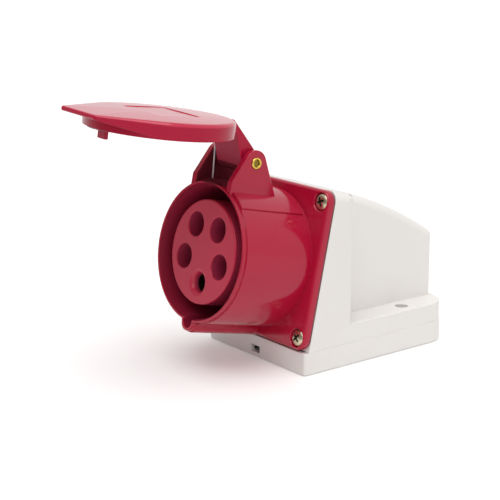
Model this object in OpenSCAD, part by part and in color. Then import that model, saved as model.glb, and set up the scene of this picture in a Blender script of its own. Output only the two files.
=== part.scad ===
// Surface-mounted industrial socket, five poles, with a hinged spring lid.
// The box lies on its wall face (z = 0). The socket looks towards -Y and leans back.

/* [Box] */
// Width of the box and side of the square flange
box_w = 78.3; // [76:0.1:100]
// Length of the box along the wall
box_l = 98.7; // [96:0.1:130]
// Height of the seam between the tray and the hood
tray_h = 11; // [9:0.5:14]
// Height of the two mounting ledges
ledge_h = 20.7; // [18:0.1:26]
// Width of the hood between the ledges
hood_w = 49; // [47:0.5:54]
// Length of the full-width shoulders behind the front edge
shoulder_l = 31; // [29:0.5:40]
// Radius of the hood's arched back
hood_r = 240; // [200:5:320]
// Rounding along the hood's edges
hood_edge_r = 5; // [4:0.5:8]
// Rounding where the hood's back turns down at the rear
hood_rear_r = 8; // [6:0.5:12]
// Rounding of the base's two rear corners
rear_corner_r = 14; // [8:0.5:18]
// Rounding of the base's front corners and the hood's upright rear edges
small_corner_r = 3; // [2.8:0.1:4]
// Wall thickness of the tray and the hood
wall = 2.6; // [2:0.1:3]
// Thickness of the tray's floor
floor_t = 2; // [1.5:0.1:3]
// Set-back of the hood at the seam
seam_inset = 0.25; // [0.1:0.05:0.5]

/* [Mounting] */
// Distance between the two mounting holes
mount_span = 62; // [58:0.5:64]
// Place of the mounting holes behind the middle of the box
mount_y = 21.5; // [15:0.5:28]
// Radius of the mounting holes
mount_hole_r = 3.3; // [2.5:0.1:3.6]
// Radius of the sleeves round the mounting holes
mount_boss_r = 6; // [5:0.1:6.4]

/* [Cable entry] */
// Height of the cable entry in the rear wall
entry_h = 32; // [28:0.5:36]
// Radius of the hole for the grommet
entry_r = 10.2; // [8:0.1:12]
// Radius of the grommet's bore
grommet_bore_r = 4; // [3:0.1:6]

/* [Drain] */
// Width of the drain slot in the front wall
drain_w = 7; // [5:0.5:10]
// Height of the drain slot
drain_h = 3.6; // [2:0.1:5]

/* [Flange] */
// Angle by which the socket leans back
lean = 12.5; // [8:0.5:16]
// Thickness of the flange
flange_t = 4; // [3:0.1:6]
// Corner radius of the flange
flange_corner_r = 6; // [4:0.5:8]
// Chamfer-like step round the flange's front edge
flange_step = 0.8; // [0.4:0.1:1.2]
// How far the flange's lower edge stands ahead of the front wall
flange_overhang = 1.8; // [1:0.1:3]
// Gap between the tray and the flange's lower edge
flange_foot_gap = 1.5; // [1:0.1:3]
// Thickness of the flange gasket
gasket_t = 0.8; // [0.5:0.1:1.5]
// Distance of the flange screws from the flange's edges
flange_screw_inset = 5.85; // [5.8:0.05:7.5]

/* [Collar] */
// Outside radius of the collar
collar_r = 34.8; // [33.5:0.1:35]
// Length of the collar ahead of the flange
collar_len = 41.5; // [38:0.1:48]
// Inside radius of the collar
bore_r = 31.2; // [30.5:0.1:31.6]
// Length of the stepped rim under the lid
rim_len = 2.2; // [1.8:0.1:3]
// Depth of the step round the rim
rim_step = 1.4; // [1.2:0.1:1.6]
// Height of the floor between collar and insert above the flange face
gap_floor = 3; // [2:0.1:5]
// Rise of the pad that carries the hinge ears
pad_rise = 0.7; // [0.3:0.1:0.9]
// Half angle of that pad
pad_angle = 44; // [40:1:50]

/* [Keyway] */
// Reach of the keyway rib below the collar's axis
rib_reach = 39.6; // [38.5:0.1:40.5]
// Width of the rib
rib_w = 10.6; // [9:0.1:12]
// Width of the keyway
key_w = 6.8; // [5:0.1:7]
// Depth of the keyway beyond the bore
key_d = 6; // [4:0.1:6.2]

/* [Insert] */
// Radius of the contact insert
insert_r = 25.4; // [24.6:0.1:26]
// Depth of the insert's face behind the rim
insert_sink = 2.8; // [1:0.1:6]
// Pitch radius of the contacts
pitch_r = 15; // [14:0.1:16]
// Radius of the entry holes of the live and neutral contacts
entry_hole_r = 6.1; // [5.6:0.1:6.4]
// Depth of those entry holes
entry_hole_d = 22; // [18:0.5:26]
// Bore radius of the live and neutral contacts
live_bore_r = 3.05; // [2.5:0.05:3.2]
// Bore radius of the earth contact
earth_bore_r = 4.05; // [3.5:0.05:4.2]
// Wall of the contact sleeves
sleeve_wall = 1.5; // [1.2:0.05:1.6]
// Depth of the live sleeves behind the insert's face
live_sink = 11; // [8:0.5:14]
// Depth of the earth sleeve behind the insert's face
earth_sink = 4; // [3.5:0.1:8]

/* [Hinge] */
// Height of the hinge pin above the collar's axis, along the flange
pin_v = 46.3; // [45:0.1:48]
// Distance of the hinge pin ahead of the flange face
pin_z = 28.5; // [27:0.1:30]
// Radius of the hinge pin
pin_r = 2; // [1.6:0.1:2.2]
// Radial clearance of the hinge pin in the ears and in the lid
pin_gap = 0.06; // [0.02:0.01:0.1]
// Half width over the two ears
ear_x = 16; // [15:0.1:17]
// Thickness of an ear
ear_t = 3.6; // [3:0.1:4]
// Radius of the ears round the pin
ear_r = 6.2; // [5:0.1:7]
// Side gap between the lid's arm and the ears
arm_gap = 0.5; // [0.3:0.1:1]

/* [Lid] */
// Angle by which the lid stands open
open_angle = 83.9; // [0:0.1:110]
// Outside radius of the lid
lid_r = 35.1; // [34.6:0.1:35.5]
// Height of the lid's edge above the rim
lid_rise = 7.9; // [7:0.1:9]
// Crown of the lid above its edge
lid_crown = 1; // [0.8:0.1:3]
// Thickness of the lid's plate
lid_t = 2; // [1.5:0.1:2.4]
// Thickness of the lid's skirt
skirt_t = 2.2; // [1.8:0.1:2.6]
// Gap between the lid's lip and the collar's rim
lip_gap = 0.7; // [0.5:0.05:1]
// Reach of the lifting tab below the collar's axis
tab_reach = 42; // [41:0.1:46]
// Width of the lifting tab
tab_w = 29; // [22:0.5:32]
// Radius of the lid's knuckle round the pin
knuckle_r = 5.4; // [4.6:0.1:5.6]
// Width of the plain panel in the lid
panel_w = 31.7; // [20:0.1:36]
// Height of that panel
panel_h = 22.5; // [16:0.1:30]
// Depth of that panel
panel_d = 0.5; // [0.3:0.1:0.8]
// Width of the catch inside the lid
catch_w = 6; // [4:0.5:8]
// Reach of the catch below the lid's lip
catch_reach = 4.2; // [2:0.1:6]
// Thickness of the catch
catch_t = 2; // [1.5:0.1:3]

/* [Spring] */
// Lid angle at which the spring's two legs line up
line_up_angle = 83.9; // [70:0.1:100]
// Wire radius of the lid spring
wire_r = 0.5; // [0.3:0.05:0.6]
// Mean radius of the spring's coil
coil_r = 3.3; // [3:0.1:3.6]
// Turns of the coil
coil_turns = 2; // [1:1:2]
// Side pitch of the coil
coil_pitch = 1.2; // [1.1:0.05:1.3]

/* [Fasteners] */
// Shank radius of the flange screws
flange_screw_r = 2; // [1.6:0.1:2.2]
// Head radius of the flange screws
flange_head_r = 4.1; // [3:0.1:4.2]
// Length of the flange screws below the head
flange_screw_l = 11; // [9:0.5:12]
// Shank radius of the base screws
base_screw_r = 1.7; // [1.4:0.1:2]
// Head radius of the base screws
base_head_r = 3.1; // [2.6:0.1:3.4]
// Shank radius of the insert screws
insert_screw_r = 1.2; // [1:0.1:1.5]
// Gap round a shank or a head
screw_gap = 0.1; // [0.05:0.05:0.2]

/* [Hidden] */
$fn = 96;
eps = 0.01;
far = 400;

// Colours
shell_grey = [0.88, 0.87, 0.85];
safety_red = [0.74, 0.10, 0.17];
rubber_black = [0.08, 0.08, 0.09];
brass = [0.80, 0.64, 0.30];
zinc = [0.72, 0.70, 0.62];
steel = [0.75, 0.76, 0.78];
block_grey = [0.42, 0.42, 0.44];

// Front plane of the socket: x across, y up along the flange, z outwards along the collar's axis
flange_half = box_w / 2;
foot_y = -box_l / 2 - flange_overhang;
foot_z = tray_h + flange_foot_gap;
face_y = foot_y + flange_half * sin(lean);
face_z = foot_z + flange_half * cos(lean);
hood_face = flange_t + gasket_t;
screw_at = flange_half - flange_screw_inset;
head_sink = 1.6;
head_h = 2;

// Hood
front_y = -box_l / 2;
rear_y = box_l / 2;
arch_v = flange_half - hood_r;
arch_y = face_y + arch_v * sin(lean) + hood_face * cos(lean);
arch_z = face_z + arch_v * cos(lean) - hood_face * sin(lean);
socket_opening_r = bore_r - 0.2;
boss_r = flange_screw_r + 2.2;
boss_l = flange_screw_l + head_sink - hood_face + 2;
boss_end_y = face_y + screw_at * sin(lean) + (hood_face + boss_l) * cos(lean);
shoulder_y = max(front_y + shoulder_l, boss_end_y + 1);
base_boss_r = base_screw_r + 2.3;
base_boss_h = 9;
base_head_h = 2.2;
base_screw_l = tray_h + base_boss_h - base_head_h - 2;
rear_screw_x = hood_w / 2 - wall - base_boss_r - 0.8;
base_screw_edge = 2.6;
base_screw_run = 21;
front_screw_x = box_w / 2 - wall - base_screw_edge;
front_screw_y = front_y + wall + base_screw_run;
rear_screw_y = rear_y - wall - base_screw_edge;
base_screw_at = [[front_screw_x, front_screw_y], [-front_screw_x, front_screw_y],
                 [rear_screw_x, rear_screw_y], [-rear_screw_x, rear_screw_y]];
grommet_lip_r = entry_r + 2.8;
grommet_lip_t = 2.2;
grommet_gap = 0.2;

// Collar
rim_r = collar_r - rim_step;
rim_z = collar_len - rim_len;
rib_step = rim_step - 0.4;
rib_corner_r = rib_w / 2 - 0.6;
fillet_r = min(flange_half - flange_step - collar_r - 0.4, 6);

// Insert and contacts
insert_z = collar_len - insert_sink;
insert_gap = 0.15;
shoulder_t = 4;
insert_back = -flange_t - shoulder_t;
insert_ring_r = socket_opening_r - 0.6;
lip_t = 2;
insert_lip = 0.7;
insert_screw_at = (insert_r + insert_lip + insert_gap + insert_ring_r) / 2;
insert_screw_l = shoulder_t + flange_t + gap_floor - 2;
live_r = live_bore_r + sleeve_wall;
earth_r = earth_bore_r + sleeve_wall - 0.4;
dish_d = 3;
collar_ring = 1;
collar_ring_t = 2;
block_t = 12;
block_r = 23;
block_back = insert_back - block_t;
terminal_l = 12;
wire_hole_r = 2.2;
terminal_screw_r = 1.5;
contact_angles = [270, 342, 54, 126, 198];

// Hinge and lid
pin = [pin_v, pin_z];
ear_in = ear_x - ear_t;
ear_toe_rise = 1.2;
ear_toe_reach = 1.6;
ear_root_sink = 6;
ear_root_drop = 16.5;
pad_r = collar_r + pad_rise;
arm_right = ear_in - arm_gap;
coil_x = -ear_in + 0.3 + wire_r;
arm_left = coil_x + coil_turns * coil_pitch + wire_r + 0.4;
web_t = 2.2;
web_left = -ear_in + arm_gap;
edge_z = collar_len + lid_rise;
lip_z = collar_len + lip_gap;
plate_z = edge_z - lid_t;
dome_r = (lid_r * lid_r + lid_crown * lid_crown) / (2 * lid_crown);
dome_z = edge_z + lid_crown - dome_r;
lid_in = lid_r - skirt_t;
tab_wall = 1.8;
tab_nose = 2;
tab_drop = 0.12;
seal_gap = 0.1;

// Tangent point on a circle from a point outside it, on one side or the other
function tangent(c, r, p, side) =
  let (d = p - c, a = atan2(d[1], d[0]) + side * acos(r / norm(d)))
  c + r * [cos(a), sin(a)];

// Outer line of the lid's arm, from the lid's edge to the knuckle
arm_top = [lid_r - 1.4, edge_z - 0.3];
arm_outer = tangent(pin, knuckle_r, arm_top, -1);
web_out = (arm_outer - pin) / knuckle_r;

// Placing helpers
module on_face() {
  translate([0, face_y, face_z]) rotate([90 - lean, 0, 0]) children();
}

module opened() {
  translate([0, pin_v, pin_z]) rotate([-open_angle, 0, 0]) translate([0, -pin_v, -pin_z]) children();
}

module along_x(x0, x1) {
  translate([x0, 0, 0]) rotate([90, 0, 90]) linear_extrude(x1 - x0) children();
}

module at_corners(d) {
  for (sx = [-1, 1], sy = [-1, 1]) translate([sx * d, sy * d, 0]) children();
}

module at_contact(i) {
  rotate([0, 0, contact_angles[i]]) translate([pitch_r, 0, 0]) children();
}

// Flat outlines
module rounded_plate(w, h, r) {
  square([w, h - 2 * r], center = true);
  square([w - 2 * r, h], center = true);
  for (sx = [-1, 1], sy = [-1, 1]) translate([sx * (w / 2 - r), sy * (h / 2 - r)]) circle(r);
}

module plan_outline(w, y0, y1, r0, r1) {
  for (s = [-1, 1]) {
    translate([s * (w / 2 - r0), y0 + r0]) circle(r0);
    translate([s * (w / 2 - r1), y1 - r1]) circle(r1);
  }
  translate([-w / 2, y0 + r0]) square([w, y1 - r1 - y0 - r0]);
  translate([-w / 2 + r0, y0]) square([w - 2 * r0, y1 - r1 - y0]);
  translate([-w / 2 + r1, y0 + r0]) square([w - 2 * r1, y1 - y0 - r0]);
}

module rib_outline(w, reach, r) {
  translate([-w / 2, -reach + r]) square([w, reach - r - bore_r + 1]);
  translate([-w / 2 + r, -reach]) square([w - 2 * r, r + eps]);
  for (s = [-1, 1]) translate([s * (w / 2 - r), -reach + r]) circle(r);
}

// Box

// Disc with rounded edges, lying across X, whose rim is the hood's arched back
module arch(w, r, edge) {
  translate([0, arch_y, arch_z]) rotate([0, 90, 0]) rotate_extrude() {
    translate([0, -w / 2]) square([r - edge, w]);
    translate([0, -w / 2 + edge]) square([r, w - 2 * edge]);
    for (s = [-1, 1]) translate([r - edge, s * (w / 2 - edge)]) circle(edge);
  }
}

// Region under the hood's rear edge, with g added all round
module rear_turn(g) {
  r = hood_rear_r + g;
  turn_y = rear_y - hood_rear_r;
  reach = hood_r - hood_rear_r;
  turn_z = arch_z + sqrt(reach * reach - (turn_y - arch_y) * (turn_y - arch_y));
  touch_y = arch_y + (turn_y - arch_y) * (hood_r + g) / reach;
  along_x(-box_w, box_w) {
    translate([-far, -eps]) square([far + touch_y, far]);
    translate([-far, -eps]) square([far + turn_y + r, turn_z]);
    translate([turn_y, turn_z]) circle(r);
  }
}

module behind_face(d) {
  on_face() translate([-far / 2, -far / 2, -far - d]) cube(far);
}

// Body of the hood; g is 0 outside and minus the wall inside
module hood_form(g, z0) {
  edge = hood_edge_r + g;
  corner = max(small_corner_r + g, 0.3);
  intersection() {
    union() {
      intersection() {
        arch(box_w - 2 * seam_inset + 2 * g, hood_r + g, edge);
        translate([0, 0, z0]) linear_extrude(far)
          plan_outline(box_w - 2 * seam_inset + 2 * g, front_y - g, shoulder_y + g, 0.1, corner);
      }
      intersection() {
        arch(hood_w + 2 * g, hood_r + g, edge);
        rear_turn(g);
        translate([0, 0, z0]) linear_extrude(far)
          plan_outline(hood_w + 2 * g, front_y - g, rear_y - seam_inset + g, 0.1, corner);
      }
      translate([-hood_w / 2 - g, front_y - g, z0])
        cube([hood_w + 2 * g, rear_y - seam_inset - front_y + 2 * g, ledge_h + g - z0]);
      translate([-box_w / 2 + seam_inset - g, front_y - g, z0])
        cube([box_w - 2 * seam_inset + 2 * g, shoulder_y - front_y + 2 * g, ledge_h + g - z0]);
    }
    behind_face(hood_face - g);
  }
}

module box_housing() {
  color(shell_grey) difference() {
    union() {
      difference() {
        hood_form(0, tray_h);
        hood_form(-wall, tray_h - 1);
      }
      // bosses for the screws from below
      for (p = base_screw_at) translate([p[0], p[1], tray_h]) cylinder(r = base_boss_r, h = base_boss_h);
      // bosses for the flange screws
      intersection() {
        on_face() translate([0, 0, -hood_face - boss_l]) at_corners(screw_at) cylinder(r = boss_r, h = boss_l);
        hood_form(-0.5, tray_h + 0.5);
      }
    }
    for (p = base_screw_at) translate([p[0], p[1], tray_h - 1])
      cylinder(r = base_screw_r + screw_gap, h = base_boss_h);
    on_face() translate([0, 0, -hood_face - boss_l + 1]) at_corners(screw_at)
      cylinder(r = flange_screw_r + screw_gap, h = boss_l);
    on_face() translate([0, 0, -hood_face - 2 * wall]) cylinder(r = socket_opening_r, h = 3 * wall);
    translate([0, rear_y + wall, entry_h]) rotate([90, 0, 0]) cylinder(r = entry_r, h = 3 * wall);
  }
}

// Ledge beside the hood, in plan, with g added all round its outside
module ledge_outline(g) {
  intersection() {
    plan_outline(box_w - 2 * seam_inset + 2 * g, front_y, rear_y - seam_inset + g,
                 small_corner_r, rear_corner_r + g);
    translate([hood_w / 2, shoulder_y]) square(far / 4);
  }
}

// Ledges for the wall screws: top, outer walls and a sleeve round each hole
module mount_ledges() {
  color(shell_grey) for (m = [0, 1]) mirror([m, 0, 0]) difference() {
    union() {
      difference() {
        translate([0, 0, tray_h]) linear_extrude(ledge_h - tray_h) ledge_outline(0);
        translate([0, 0, tray_h - 1]) linear_extrude(ledge_h - wall - tray_h + 1) ledge_outline(-wall);
      }
      translate([0, 0, tray_h]) linear_extrude(ledge_h - tray_h - 1) intersection() {
        translate([mount_span / 2, mount_y]) circle(mount_boss_r);
        ledge_outline(-0.5);
      }
    }
    translate([mount_span / 2, mount_y, 0]) cylinder(r = mount_hole_r, h = far / 4);
  }
}

module base_tray() {
  color(shell_grey) difference() {
    union() {
      difference() {
        linear_extrude(tray_h) plan_outline(box_w, front_y, rear_y, small_corner_r / 2, rear_corner_r);
        translate([0, 0, floor_t]) linear_extrude(tray_h)
          plan_outline(box_w - 2 * wall, front_y + wall, rear_y - wall, small_corner_r / 4, rear_corner_r - wall);
      }
      for (s = [-1, 1]) translate([s * mount_span / 2, mount_y, 0]) cylinder(r = mount_boss_r, h = tray_h);
      for (p = base_screw_at) translate([p[0], p[1], 0]) cylinder(r = base_head_r + 1.2, h = tray_h);
    }
    for (s = [-1, 1]) translate([s * mount_span / 2, mount_y, -1]) cylinder(r = mount_hole_r, h = tray_h + 2);
    for (p = base_screw_at) translate([p[0], p[1], -1]) {
      cylinder(r = base_screw_r + screw_gap, h = tray_h + 2);
      cylinder(r = base_head_r + screw_gap, h = base_head_h + 1.6);
    }
    translate([-drain_w / 2, front_y - 1, floor_t]) cube([drain_w, wall + 2, drain_h]);
  }
}

module base_screws() {
  color(zinc) for (p = base_screw_at) translate([p[0], p[1], 0.6]) difference() {
    union() {
      cylinder(r = base_head_r, h = base_head_h);
      cylinder(r = base_screw_r, h = base_head_h + base_screw_l - 2);
    }
    for (a = [0, 90]) rotate([0, 0, a]) cube([base_head_r, 0.7, 2 * 1.2], center = true);
  }
}

module cable_grommet() {
  neck = entry_r - grommet_gap;
  inner_y = wall + seam_inset;
  color(rubber_black) translate([0, rear_y - seam_inset, entry_h]) rotate([-90, 0, 0])
  rotate_extrude() difference() {
    union() {
      translate([0, 0]) square([grommet_lip_r, grommet_lip_t]);
      translate([0, -wall]) square([neck, wall + eps]);
      translate([0, -wall - grommet_lip_t]) square([neck + 1.2, grommet_lip_t]);
    }
    translate([0, -inner_y - 2 * grommet_lip_t]) square([grommet_bore_r, far / 10]);
    translate([neck - 2.6, grommet_lip_t - 0.8]) square([2, 1]);
  }
}

// Socket

module flange_gasket() {
  color(rubber_black) on_face() translate([0, 0, -hood_face]) linear_extrude(gasket_t) difference() {
    rounded_plate(box_w - 1, box_w - 1, flange_corner_r - 0.5);
    circle(socket_opening_r);
    at_corners(screw_at) circle(flange_screw_r + screw_gap);
  }
}

module ear_outline() {
  front = [collar_r + ear_toe_rise, rim_z + ear_toe_reach];
  back = [collar_r - ear_root_sink, pin_z - ear_root_drop];
  translate(pin) circle(ear_r);
  polygon([[back[0], front[1]], front, tangent(pin, ear_r, front, -1), pin, tangent(pin, ear_r, back, 1), back]);
}

// Square plate, with the floor of the gap between collar and insert
module socket_flange() {
  color(safety_red) on_face() difference() {
    union() {
      translate([0, 0, -flange_t]) linear_extrude(flange_t - flange_step)
        rounded_plate(box_w, box_w, flange_corner_r);
      translate([0, 0, -flange_t]) linear_extrude(flange_t)
        rounded_plate(box_w - 2 * flange_step, box_w - 2 * flange_step, flange_corner_r - flange_step);
      translate([0, 0, -1]) cylinder(r = bore_r, h = gap_floor + 1);
    }
    translate([0, 0, -flange_t - 1]) cylinder(r = insert_r + insert_gap, h = flange_t + gap_floor + 2);
    translate([0, 0, -flange_t - 1]) at_corners(screw_at) {
      cylinder(r = flange_screw_r + screw_gap, h = flange_t + 2);
      translate([0, 0, flange_t + 1 - head_sink]) cylinder(r = flange_head_r + screw_gap, h = far / 40);
    }
    for (a = [90, 210, 330]) rotate([0, 0, a]) translate([insert_screw_at, 0, -flange_t - 1])
      cylinder(r = insert_screw_r + screw_gap, h = insert_screw_l - shoulder_t + 1.5);
  }
}

module socket_collar() {
  color(safety_red) on_face() difference() {
    union() {
      // collar with its keyway rib, then the stepped rim
      linear_extrude(rim_z) {
        circle(collar_r);
        rib_outline(rib_w, rib_reach, rib_corner_r);
      }
      linear_extrude(collar_len) {
        circle(rim_r);
        rib_outline(rib_w - 2 * rib_step, rib_reach - rib_step, rib_corner_r - rib_step);
      }
      // sweep from the collar into the flange
      rotate_extrude() difference() {
        translate([collar_r - 1, 0]) square([fillet_r + 1, fillet_r]);
        translate([collar_r + fillet_r, fillet_r]) circle(fillet_r + 0.05);
      }
      // raised pad under the hinge
      rotate([0, 0, 90 - pad_angle]) rotate_extrude(angle = 2 * pad_angle)
        translate([rim_r - 1, fillet_r / 2]) square([pad_r - rim_r + 1, rim_z - 0.2 - fillet_r / 2]);
    }
    translate([0, 0, -1]) cylinder(r = bore_r, h = collar_len + 2);
    translate([0, -bore_r - key_d + key_w / 2, gap_floor]) linear_extrude(collar_len) {
      circle(key_w / 2);
      translate([-key_w / 2, 0]) square([key_w, key_d + 1]);
    }
    // seat of the spring's fixed leg
    translate([coil_x, leg_low, pin_z + coil_r]) rotate([-90, 0, 0]) cylinder(r = seat_r, h = far / 40, $fn = 24);
  }
}

module hinge_ears() {
  color(safety_red) on_face() for (x = [-ear_x, ear_in]) difference() {
    along_x(x, x + ear_t) ear_outline();
    cylinder(r = pad_r, h = collar_len);
    translate([-ear_x - 1, pin_v, pin_z]) rotate([0, 90, 0]) cylinder(r = pin_r + pin_gap, h = 2 * ear_x + 2);
  }
}

module flange_screws() {
  color(zinc) on_face() at_corners(screw_at) translate([0, 0, -head_sink]) difference() {
    union() {
      translate([0, 0, -flange_screw_l]) cylinder(r = flange_screw_r, h = flange_screw_l);
      cylinder(r = flange_head_r, h = head_h);
    }
    for (a = [0, 90]) rotate([0, 0, a]) translate([0, 0, head_h])
      cube([flange_head_r * 1.2, 0.9, 2 * 1.2], center = true);
  }
}

// Insert and contacts

module contact_insert() {
  color(safety_red) on_face() difference() {
    union() {
      translate([0, 0, insert_back]) cylinder(r = insert_r, h = insert_z - insert_back);
      translate([0, 0, -flange_t - lip_t]) cylinder(r = insert_r + insert_lip, h = lip_t);
    }
    at_contact(0) {
      translate([0, 0, insert_back - 1]) cylinder(r = earth_r + insert_gap, h = far / 4);
      translate([0, 0, insert_z - dish_d])
        cylinder(r1 = earth_r + insert_gap, r2 = entry_hole_r, h = dish_d + eps);
    }
    for (i = [1 : 4]) at_contact(i) {
      translate([0, 0, insert_back - 1]) cylinder(r = live_r + insert_gap, h = far / 4);
      translate([0, 0, insert_z - entry_hole_d]) cylinder(r = entry_hole_r, h = entry_hole_d + 1);
    }
  }
}

// Ring that clamps the insert's lip to the back of the flange
module insert_ring() {
  color(safety_red) on_face() difference() {
    translate([0, 0, insert_back]) cylinder(r = insert_ring_r, h = shoulder_t);
    translate([0, 0, insert_back - 1]) cylinder(r = insert_r + insert_gap, h = shoulder_t + 2);
    translate([0, 0, -flange_t - lip_t]) cylinder(r = insert_r + insert_lip + insert_gap, h = shoulder_t);
    for (a = [90, 210, 330]) rotate([0, 0, a]) translate([insert_screw_at, 0, insert_back - 1])
      cylinder(r = insert_screw_r + screw_gap, h = shoulder_t + 2);
  }
}

module insert_screws() {
  color(steel) on_face() for (a = [90, 210, 330]) rotate([0, 0, a]) translate([insert_screw_at, 0, insert_back]) {
    cylinder(r = insert_screw_r, h = insert_screw_l - 1);
    translate([0, 0, -1.6]) cylinder(r = 2 * insert_screw_r, h = 1.6);
  }
}

module terminal_block() {
  color(block_grey) on_face() difference() {
    translate([0, 0, block_back]) cylinder(r = block_r, h = block_t);
    for (i = [0 : 4]) at_contact(i) {
      r = i == 0 ? earth_r : live_r;
      translate([0, 0, block_back - 1]) cylinder(r = r + insert_gap, h = block_t + 2);
      translate([0, 0, insert_back - collar_ring_t - insert_gap])
        cylinder(r = r + collar_ring + insert_gap, h = far / 10);
    }
  }
}

// Turned contact: sleeve in front, ring held behind the insert, terminal barrel at the back
module contact(i) {
  bore = i == 0 ? earth_bore_r : live_bore_r;
  r = i == 0 ? earth_r : live_r;
  front = insert_z - (i == 0 ? earth_sink : live_sink);
  back = block_back - terminal_l;
  color(brass) on_face() at_contact(i) difference() {
    union() {
      translate([0, 0, back]) cylinder(r = r, h = front - back);
      translate([0, 0, insert_back - collar_ring_t]) cylinder(r = r + collar_ring, h = collar_ring_t);
    }
    translate([0, 0, insert_back]) cylinder(r = bore, h = far / 4);
    translate([0, 0, back - 1]) cylinder(r = wire_hole_r, h = terminal_l - 1);
    translate([0, 0, back + terminal_l / 2 - 1]) rotate([0, 90, 0])
      cylinder(r = terminal_screw_r + screw_gap, h = far / 20);
  }
}

module contact_earth() { contact(0); }
module contact_neutral() { contact(1); }
module contact_line_1() { contact(2); }
module contact_line_2() { contact(3); }
module contact_line_3() { contact(4); }

module contact_springs() {
  color(steel) on_face() for (i = [1 : 4]) at_contact(i) translate([0, 0, insert_z - live_sink - 4.5])
  difference() {
    cylinder(r = live_r + 0.7, h = 2.5);
    translate([0, 0, -1]) cylinder(r = live_r, h = 5);
  }
}

module terminal_screws() {
  color(steel) on_face() for (i = [0 : 4]) at_contact(i) {
    r = i == 0 ? earth_r : live_r;
    translate([wire_hole_r - 1.2, 0, block_back - terminal_l / 2 - 1]) rotate([0, 90, 0]) {
      cylinder(r = terminal_screw_r, h = r - wire_hole_r + 1.3);
      translate([0, 0, r - wire_hole_r + 1.2]) cylinder(r = terminal_screw_r + 0.9, h = 1.4);
    }
  }
}

// Hinge

module hinge_pin() {
  rivet = 0.6;
  color(brass) on_face() translate([0, pin_v, pin_z]) rotate([0, 90, 0]) difference() {
    union() {
      translate([0, 0, -ear_x - rivet]) cylinder(r = pin_r, h = 2 * (ear_x + rivet));
      for (s = [-1, 1]) translate([0, 0, s * (ear_x + rivet / 2) - rivet / 2])
        cylinder(r = pin_r + 0.8, h = rivet);
    }
    for (s = [-1, 1]) translate([0, 0, s * (ear_x + rivet)]) cylinder(r = pin_r * 0.6, h = 8, center = true);
  }
}

// Path of the lid spring: fixed leg, coil and lid leg
steps = 16;
seat_l = 1.2;
seat_r = wire_r + 0.15;
leg_low = sqrt(pad_r * pad_r - coil_x * coil_x) - seat_l;
leg_start = coil_r * [-sin(line_up_angle), cos(line_up_angle)];
leg_dir = [cos(line_up_angle), sin(line_up_angle)];
leg_slope = leg_dir * web_out;
leg_l = (knuckle_r - web_t - leg_start * web_out) / leg_slope - wire_r * tan(acos(leg_slope)) - 0.02;
wind = coil_turns * 360 - line_up_angle + open_angle;
coil_n = ceil(wind * steps / 360);
coil_end = [sin(wind), cos(wind)];
leg_end = coil_r * coil_end + leg_l * [cos(wind), -sin(wind)];
spring_path = concat(
  [[coil_x, leg_low, pin_z + coil_r]],
  [for (k = [0 : coil_n])
    let (a = wind * k / coil_n)
    [coil_x + coil_pitch * a / 360, pin_v + coil_r * sin(a), pin_z + coil_r * cos(a)]],
  [[coil_x + coil_pitch * wind / 360, pin_v + leg_end[0], pin_z + leg_end[1]]]);

// Ring of points round a path, square to it
function unit(v) = v / norm(v);
function ring(path, k, r, n) =
  let (last = len(path) - 1,
       t = unit(path[min(k + 1, last)] - path[max(k - 1, 0)]),
       u = unit(cross(t, [0.9, 0.1, 0.3])),
       w = cross(t, u))
  [for (j = [0 : n - 1]) path[k] + r * (cos(360 * j / n) * u + sin(360 * j / n) * w)];

module swept_wire(path, r, n) {
  m = len(path);
  points = [for (k = [0 : m - 1]) each ring(path, k, r, n)];
  sides = [for (k = [0 : m - 2], j = [0 : n - 1])
    [k * n + j, k * n + (j + 1) % n, (k + 1) * n + (j + 1) % n, (k + 1) * n + j]];
  start = [for (j = [n - 1 : -1 : 0]) j];
  end = [for (j = [0 : n - 1]) (m - 1) * n + j];
  polyhedron(points, concat(sides, [start, end]), convexity = 6);
}

module lid_spring() {
  color(steel) on_face() swept_wire(spring_path, wire_r, 8);
}

// Lid, drawn closed on the collar and then swung open

// Outline of the lifting tab, drawn in by d; its sides run just inside the disc's edge
module tab_outline(d) {
  corner = [tab_w / 2 - d * 0.8, -tab_reach + d];
  touch = tangent([0, 0], lid_r - d - 0.5, corner, 1);
  polygon([touch, corner, [-corner[0], corner[1]], [-touch[0], touch[1]]]);
}

// Everything below the slanting lower edge of the tab
module below_tab() {
  start_v = tangent([0, 0], lid_r, [tab_w / 2, -tab_reach], 1)[1];
  along_x(-far / 4, far / 4) polygon([[start_v, lip_z - 20], [start_v, lip_z], [-tab_reach - 1, edge_z - tab_nose],
                                      [-tab_reach - 1, lip_z - 20]]);
}

module lifting_tab() {
  difference() {
    translate([0, 0, lip_z]) linear_extrude(edge_z - tab_drop - lip_z) tab_outline(0);
    below_tab();
    translate([0, 0, lip_z - 1]) linear_extrude(plate_z + 1 - lip_z) tab_outline(tab_wall);
  }
}

module lid_arm() {
  top = arm_top;
  low = [collar_r + 1.4, lip_z];
  outer = arm_outer;
  inner = tangent(pin, knuckle_r, low, 1);
  clear = outer + unit(top - outer) * 4.2;
  under = web_t * web_out;
  // short web over the spring
  along_x(web_left, arm_left + 1) polygon([top, clear, clear - under, top - under]);
  // solid arm with a flat front, from the lid to the knuckle
  along_x(arm_left, arm_right) {
    translate(pin) circle(knuckle_r);
    polygon([top, outer, pin, inner, low, [lid_in - 2, lip_z], [lid_in - 2, plate_z]]);
  }
}

// Disc with a crowned top, filled down to the lip
module lid_disc() {
  rotate_extrude() intersection() {
    translate([0, lip_z]) square([lid_r, far / 4]);
    translate([0, dome_z]) circle(dome_r, $fn = 360);
  }
}

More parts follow.
